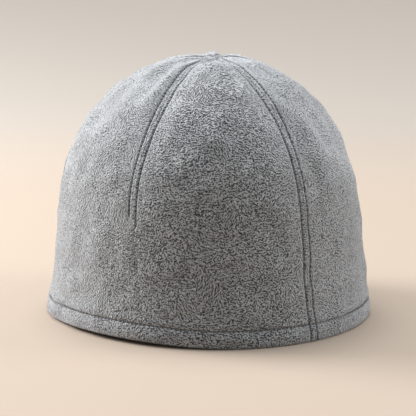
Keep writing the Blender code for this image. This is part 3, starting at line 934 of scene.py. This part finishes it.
def stitch_row(azimuth, step, strength):
    """Rings of points for the stitches of one row, as an array of stitches, rings and points.

    The row is given at the needle's holes. Each stitch runs most of the way from one to the next, and its
    rings are circles across that run.
    """
    skin, _, _, out = skin_frame(azimuth, step)
    points = skin - out * THREAD_SUNK
    start, finish = points[:-1], points[1:]
    up = unit(out[:-1] + out[1:])
    run = finish - start
    side = unit(np.cross(run, up))
    kept = (strength[:-1] > 0.5) & (strength[1:] > 0.5)
    middle, run, side, up = (0.5 * (start + finish))[kept], run[kept], side[kept], up[kept]
    along, rise, thick = STITCH_SHAPE.T
    turn = np.linspace(0.0, 2.0 * np.pi, 7)[:-1]
    centre = middle[:, None] + STITCH_HALF * run[:, None] * along[:, None]
    centre = centre + up[:, None] * (rise * THREAD_RADIUS)[:, None]
    circle = np.cos(turn)[:, None] * side[:, None, None] + np.sin(turn)[:, None] * up[:, None, None]
    return centre[:, :, None] + circle * (thick * THREAD_RADIUS)[:, None, None]


def make_stitches(name, rows):
    """One piece from many rows: every stitch has the same faces, shifted by its number of points."""
    rings = np.concatenate(rows)
    count, sections, sides = rings.shape[:3]
    one = np.arange(sections * sides).reshape(sections, sides)
    closed = np.concatenate([one, one[:, :1]], axis=1)
    quads = grid_faces(closed)
    ends = [(one[k, 0], one[k, j], one[k, j + 1]) for k in (0, -1) for j in range(1, sides - 1)]
    shift = np.arange(count)[:, None, None] * sections * sides
    points = rings.reshape(-1, 3)
    make_piece(name, points, quads + shift, np.array(ends) + shift, THREAD, [])


THREAD = thread_material()


def seam_rows(seam, is_dart):
    """Both rows of stitches of a seam or dart, from its foot to the crown."""
    rows = []
    for side in (-1, 1):
        holes = np.arange(0.0, FULL_LENGTH - 0.005, STITCH_PITCH)
        step = np.interp(holes, LENGTHS, STEPS)
        offset = row_offset(holes, side, is_dart)
        azimuth = seam + np.degrees(offset / np.maximum(mean_radius(step), NEAREST))
        strength = row_strength(holes, side, is_dart)
        if not is_dart:
            strength = strength * (holes > TURN_UP - HEM_STITCH)
        rows.append(stitch_row(azimuth, step, strength))
    return rows


def hem_row():
    """The single row of stitches that holds the hem."""
    pitch = np.degrees(STITCH_PITCH / (0.25 * (HEM_WIDTH + HEM_DEPTH)))
    azimuth = pitch * np.arange(math.ceil(-180.0 / pitch), math.floor(180.0 / pitch) + 1)
    step = np.full(len(azimuth), step_at(HEM_STITCH))
    return [stitch_row(azimuth, step, np.ones(len(azimuth)))]


make_stitches("side_seam_stitches", [row for seam in SIDE_SEAMS for row in seam_rows(seam, False)])
make_stitches("dart_stitches", [row for seam in DARTS for row in seam_rows(seam, True)])
make_stitches("hem_stitches", hem_row())

# %% [markdown]
# ## Camera
#
# The photograph looks slightly down on the cap from in front of its left side, from less than a metre away.
# The camera's place comes from fitting the model's outline and seams to the photograph. It is kept as
# angles, in degrees, and distances, because these are easier to read than a matrix.

# %% Camera
CAMERA_AZIMUTH, CAMERA_PITCH, CAMERA_DISTANCE, CAMERA_ROLL = 57.42, 9.88, 0.8261, 0.26
CAMERA_LENS = 119.16
AIM_HEIGHT, AIM_ASIDE = 0.0610, -0.0005


def view_axes():
    """The camera's directions right, up and back, from its azimuth, pitch and roll."""
    a, e, r = (math.radians(x) for x in (CAMERA_AZIMUTH, CAMERA_PITCH, CAMERA_ROLL))
    away = Vector((math.sin(a) * math.cos(e), -math.cos(a) * math.cos(e), math.sin(e)))
    right = Vector((math.cos(a), math.sin(a), 0.0))
    up = away.cross(right)
    return right * math.cos(r) + up * math.sin(r), up * math.cos(r) - right * math.sin(r), away


def add_camera():
    """A camera that looks at a point near the middle of the cap."""
    right, up, away = view_axes()
    data = bpy.data.cameras.new("camera")
    data.lens, data.sensor_width = CAMERA_LENS, 36.0
    data.clip_start, data.clip_end = 0.05, 30.0
    camera = bpy.data.objects.new("camera", data)
    bpy.context.scene.collection.objects.link(camera)
    aim = Vector((0.0, 0.0, AIM_HEIGHT)) + right * AIM_ASIDE
    matrix = Matrix((right, up, away)).transposed().to_4x4()
    matrix.translation = aim + away * CAMERA_DISTANCE
    camera.matrix_world = matrix
    bpy.context.scene.camera = camera


add_camera()

# %% [markdown]
# ## Floor and light
#
# A pale floor curves up into its own backdrop all the way round, so that no corner shows from any side.
# The sky gives most of the light, soft and a little cool. A large lamp from the left and behind brightens
# the pile along the left edge, a weak one does so on the right, and one from above lights the crown.

# %% Floor
FLOOR_FLAT, FLOOR_BEND = 0.8, 2.0  # reach of the flat part, and the radius of the bend
NEAR_REACH, FAR_REACH = 0.22, 1.3
NEAR_COLOUR, FAR_COLOUR = (0.372, 0.300, 0.243, 1.0), (0.41, 0.365, 0.325, 1.0)


def ground_material():
    """Warm and pale near the cap and a little greyer far off, by the distance from the middle."""
    material, shader = new_material("floor")
    tree = material.node_tree
    place = add_node(tree, "ShaderNodeTexCoord").outputs["Object"]
    reach = add_node(tree, "ShaderNodeVectorMath", {0: place}, operation="LENGTH").outputs["Value"]
    steps = {"Value": reach, "From Min": NEAR_REACH, "From Max": FAR_REACH}
    share = add_node(tree, "ShaderNodeMapRange", steps, interpolation_type="SMOOTHERSTEP").outputs[0]
    mixed = add_node(tree, "ShaderNodeMix", {"Factor": share}, data_type="RGBA")
    mixed.inputs[6].default_value, mixed.inputs[7].default_value = NEAR_COLOUR, FAR_COLOUR
    tree.links.new(mixed.outputs[2], shader.inputs["Base Color"])
    shader.inputs["Roughness"].default_value = 0.9
    return material


def add_floor():
    """A bowl, flat in the middle and then a quarter circle up."""
    turn = np.radians(np.linspace(0.0, 360.0, 129)[:-1])
    bend = np.radians(np.linspace(0.0, 90.0, 31))
    reach = np.concatenate([[0.0001, 0.5 * FLOOR_FLAT], FLOOR_FLAT + FLOOR_BEND * np.sin(bend)])
    level = np.concatenate([[0.0, 0.0], FLOOR_BEND * (1.0 - np.cos(bend))])
    x, y = reach[:, None] * np.sin(turn), reach[:, None] * np.cos(turn)
    index = np.arange(x.size).reshape(x.shape)
    index = np.concatenate([index, index[:, :1]], axis=1)
    points = np.stack([x, y, np.broadcast_to(level[:, None], x.shape)], -1).reshape(-1, 3)
    mesh = bpy.data.meshes.new("floor")
    mesh.from_pydata(points.tolist(), [], grid_faces(index)[:, ::-1].tolist())
    mesh.shade_smooth()
    mesh.materials.append(ground_material())
    floor = bpy.data.objects.new("floor", mesh)
    bpy.context.scene.collection.objects.link(floor)


add_floor()

# %% Lights
LAMPS = (  # name, and metres to the right, up and away from the camera, and watts
    ("left", -1.30, 0.84, 0.43, 39.0),
    ("right", 1.35, 0.72, 0.15, 10.0),
    ("top", -0.10, 1.50, 0.30, 18.0),
)
LAMP_SIZE, LAMP_COLOUR = 0.9, (1.0, 0.985, 0.97)
LIT_POINT = Vector((0.0, 0.0, 0.08))
SKY_COLOUR, SKY_STRENGTH = (0.84, 0.94, 1.0, 1.0), 0.94


def add_lights():
    """Round lamps that face the cap, and an even sky."""
    right, _, away = view_axes()
    flat_back = Vector((-away.x, -away.y, 0.0)).normalized()
    right = Vector((right.x, right.y, 0.0)).normalized()
    for name, aside, above, behind, watts in LAMPS:
        data = bpy.data.lights.new(name, "AREA")
        data.shape, data.size, data.energy, data.color = "DISK", LAMP_SIZE, watts, LAMP_COLOUR
        light = bpy.data.objects.new(name, data)
        bpy.context.scene.collection.objects.link(light)
        place = right * aside + flat_back * behind + Vector((0.0, 0.0, above))
        light.location = place
        light.rotation_euler = (LIT_POINT - place).to_track_quat("-Z", "Y").to_euler()
    world = bpy.data.worlds.new("studio")
    world.use_nodes = True
    sky = world.node_tree.nodes["Background"].inputs
    sky["Color"].default_value, sky["Strength"].default_value = SKY_COLOUR, SKY_STRENGTH
    bpy.context.scene.world = world
    bpy.context.scene.view_settings.view_transform = "Standard"


add_lights()
print("lamps:", [row[0] for row in LAMPS])

# %% [markdown]
# ## Last step
#
# The view layer is updated, so that every piece's place is worked out.

# %% Finish
bpy.context.view_layer.update()
